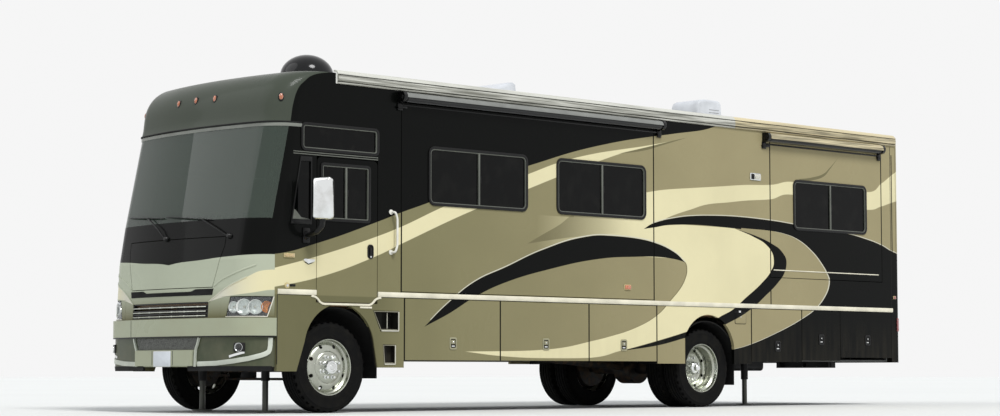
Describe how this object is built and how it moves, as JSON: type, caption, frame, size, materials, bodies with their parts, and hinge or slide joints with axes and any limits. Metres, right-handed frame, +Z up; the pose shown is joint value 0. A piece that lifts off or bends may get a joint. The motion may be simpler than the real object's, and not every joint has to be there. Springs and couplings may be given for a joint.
{
  "type": "motorhome",
  "caption": "Front-engined bus-shaped motorhome with slide-out rooms, luggage bays, cab and entry doors, twin rear wheels and levelling jacks.",
  "frame": {"origin": "on the ground below the middle of the overall box", "axes": "+Z up, -Y to the front, +X to the driver's side"},
  "size_m": [3.33, 10.91, 3.935],
  "materials": {
    "cap_paint": "gloss metallic",
    "wall_paint": "gloss",
    "skirt_paint": "gloss",
    "roof_skin": "satin",
    "bumper_paint": "gloss metallic",
    "glass": "tinted",
    "lamp_lens": "clear",
    "grille_trim": "gloss",
    "frame_steel": "satin black",
    "axle_steel": "rough",
    "engine": "rough",
    "tank": "matt",
    "floor_board": "matt",
    "bay_lining": "matt",
    "liner": "matt",
    "mirror_shell": "chrome-like",
    "roof_unit": "satin",
    "awning": "satin",
    "topper": "satin",
    "dash": "matt",
    "seat": "soft",
    "hitch": "satin black",
    "rim": "polished",
    "tyre": "matt",
    "jack": "bright"
  },
  "bodies": {
    "body": {"chassis_frame": "frame_steel", "engine_block": "engine", "front_axle": "axle_steel", "rear_axle": "axle_steel", "leaf_springs": "axle_steel", "fuel_tank": "tank", "floor": "floor_board", "entry_well": "bay_lining", "basement_bays": "bay_lining", "wheel_liners": "liner", "left_wall": "wall_paint", "right_wall": "wall_paint", "skirts": "skirt_paint", "roof": "roof_skin", "front_cap": "cap_paint", "rear_cap": "wall_paint", "windshield": "glass", "side_windows": "glass", "front_bumper": "bumper_paint", "grille": "grille_trim", "lamps": "lamp_lens", "mirrors": "mirror_shell", "roof_units": "roof_unit", "patio_awning": "awning", "dashboard": "dash", "cab_seats": "seat", "hitch_receiver": "hitch"},
    "hood": {"hood": "cap_paint"},
    "driver_door": {"driver_door": "wall_paint", "driver_door_glass": "glass"},
    "entry_door": {"entry_door": "wall_paint", "entry_door_glass": "glass"},
    "entry_step": {"entry_step": "frame_steel"},
    "front_slide": {"front_slide_room": "wall_paint", "front_slide_windows": "glass", "front_slide_topper": "topper"},
    "rear_slide": {"rear_slide_room": "wall_paint", "rear_slide_windows": "glass", "rear_slide_topper": "topper"},
    "left_knuckle": {"left_knuckle": "axle_steel"},
    "right_knuckle": {"right_knuckle": "axle_steel"},
    "tie_rod": {"tie_rod": "axle_steel"},
    "front_left_wheel": {"front_left_rim": "rim", "front_left_tyre": "tyre"},
    "front_right_wheel": {"front_right_rim": "rim", "front_right_tyre": "tyre"},
    "rear_left_wheel": {"rear_left_rims": "rim", "rear_left_tyres": "tyre"},
    "rear_right_wheel": {"rear_right_rims": "rim", "rear_right_tyres": "tyre"},
    "jack_legs": {"jack_legs": "jack"},
    "left_bay_door_1": {"left_bay_door_1": "skirt_paint"},
    "left_bay_door_2": {"left_bay_door_2": "skirt_paint"},
    "left_bay_door_3": {"left_bay_door_3": "skirt_paint"},
    "left_bay_door_4": {"left_bay_door_4": "skirt_paint"},
    "left_bay_door_5": {"left_bay_door_5": "skirt_paint"},
    "left_bay_door_6": {"left_bay_door_6": "skirt_paint"},
    "right_bay_door_1": {"right_bay_door_1": "skirt_paint"},
    "right_bay_door_2": {"right_bay_door_2": "skirt_paint"}
  },
  "joints": [
    {"name": "left_steer", "type": "hinge", "parent": "body", "child": "left_knuckle", "pos_m": [0.89, -4.18, 0.472], "axis": [0, 0, 1], "range_deg": [-35, 35]},
    {"name": "right_steer", "type": "hinge", "parent": "body", "child": "right_knuckle", "pos_m": [-0.89, -4.18, 0.472], "axis": [0, 0, 1], "range_deg": [-35, 35]},
    {"name": "tie_rod_turn", "type": "hinge", "parent": "left_knuckle", "child": "tie_rod", "pos_m": [0.89, -3.98, 0.347], "axis": [0, 0, 1], "range_deg": [-35, 35]},
    {"name": "front_left_spin", "type": "hinge", "parent": "left_knuckle", "child": "front_left_wheel", "pos_m": [1.07, -4.18, 0.472], "axis": [1, 0, 0], "continuous": true},
    {"name": "front_right_spin", "type": "hinge", "parent": "right_knuckle", "child": "front_right_wheel", "pos_m": [-1.07, -4.18, 0.472], "axis": [1, 0, 0], "continuous": true},
    {"name": "rear_left_spin", "type": "hinge", "parent": "body", "child": "rear_left_wheel", "pos_m": [0.935, 1.61, 0.472], "axis": [1, 0, 0], "continuous": true},
    {"name": "rear_right_spin", "type": "hinge", "parent": "body", "child": "rear_right_wheel", "pos_m": [-0.935, 1.61, 0.472], "axis": [1, 0, 0], "continuous": true},
    {"name": "hood_hinge", "type": "hinge", "parent": "body", "child": "hood", "pos_m": [0, -5.348, 1.8], "axis": [-1, 0, 0], "range_deg": [0, 70]},
    {"name": "driver_door_hinge", "type": "hinge", "parent": "body", "child": "driver_door", "pos_m": [1.29, -4.442, 1.895], "axis": [0, 0, -1], "range_deg": [0, 75]},
    {"name": "entry_door_hinge", "type": "hinge", "parent": "body", "child": "entry_door", "pos_m": [-1.29, -3.382, 1.632], "axis": [0, 0, 1], "range_deg": [0, 90]},
    {"name": "entry_step_pull", "type": "slide", "parent": "body", "child": "entry_step", "axis": [-1, 0, 0], "range_m": [0, 0.27]},
    {"name": "front_slide_out", "type": "slide", "parent": "body", "child": "front_slide", "axis": [1, 0, 0], "range_m": [0, 0.6]},
    {"name": "rear_slide_out", "type": "slide", "parent": "body", "child": "rear_slide", "axis": [1, 0, 0], "range_m": [0, 0.5]},
    {"name": "jack_lift", "type": "slide", "parent": "body", "child": "jack_legs", "axis": [0, 0, 1], "range_m": [0, 0.26]},
    {"name": "left_bay_door_1_hinge", "type": "hinge", "parent": "body", "child": "left_bay_door_1", "pos_m": [1.29, -2.548, 1.208], "axis": [0, -1, 0], "range_deg": [0, 90]},
    {"name": "left_bay_door_2_hinge", "type": "hinge", "parent": "body", "child": "left_bay_door_2", "pos_m": [1.29, -1.146, 1.208], "axis": [0, -1, 0], "range_deg": [0, 90]},
    {"name": "left_bay_door_3_hinge", "type": "hinge", "parent": "body", "child": "left_bay_door_3", "pos_m": [1.29, 0.1265, 1.208], "axis": [0, -1, 0], "range_deg": [0, 90]},
    {"name": "left_bay_door_4_hinge", "type": "hinge", "parent": "body", "child": "left_bay_door_4", "pos_m": [1.29, 2.9065, 1.208], "axis": [0, -1, 0], "range_deg": [0, 90]},
    {"name": "left_bay_door_5_hinge", "type": "hinge", "parent": "body", "child": "left_bay_door_5", "pos_m": [1.29, 3.7845, 1.208], "axis": [0, -1, 0], "range_deg": [0, 90]},
    {"name": "left_bay_door_6_hinge", "type": "hinge", "parent": "body", "child": "left_bay_door_6", "pos_m": [1.29, 4.7165, 1.208], "axis": [0, -1, 0], "range_deg": [0, 90]},
    {"name": "right_bay_door_1_hinge", "type": "hinge", "parent": "body", "child": "right_bay_door_1", "pos_m": [-1.29, -0.9205, 1.208], "axis": [0, 1, 0], "range_deg": [0, 90]},
    {"name": "right_bay_door_2_hinge", "type": "hinge", "parent": "body", "child": "right_bay_door_2", "pos_m": [-1.29, 3.8385, 1.208], "axis": [0, 1, 0], "range_deg": [0, 90]}
  ],
  "couplings": [
    {"joint": "right_steer", "follows": "left_steer", "ratio": 1},
    {"joint": "tie_rod_turn", "follows": "left_steer", "ratio": -1}
  ]
}
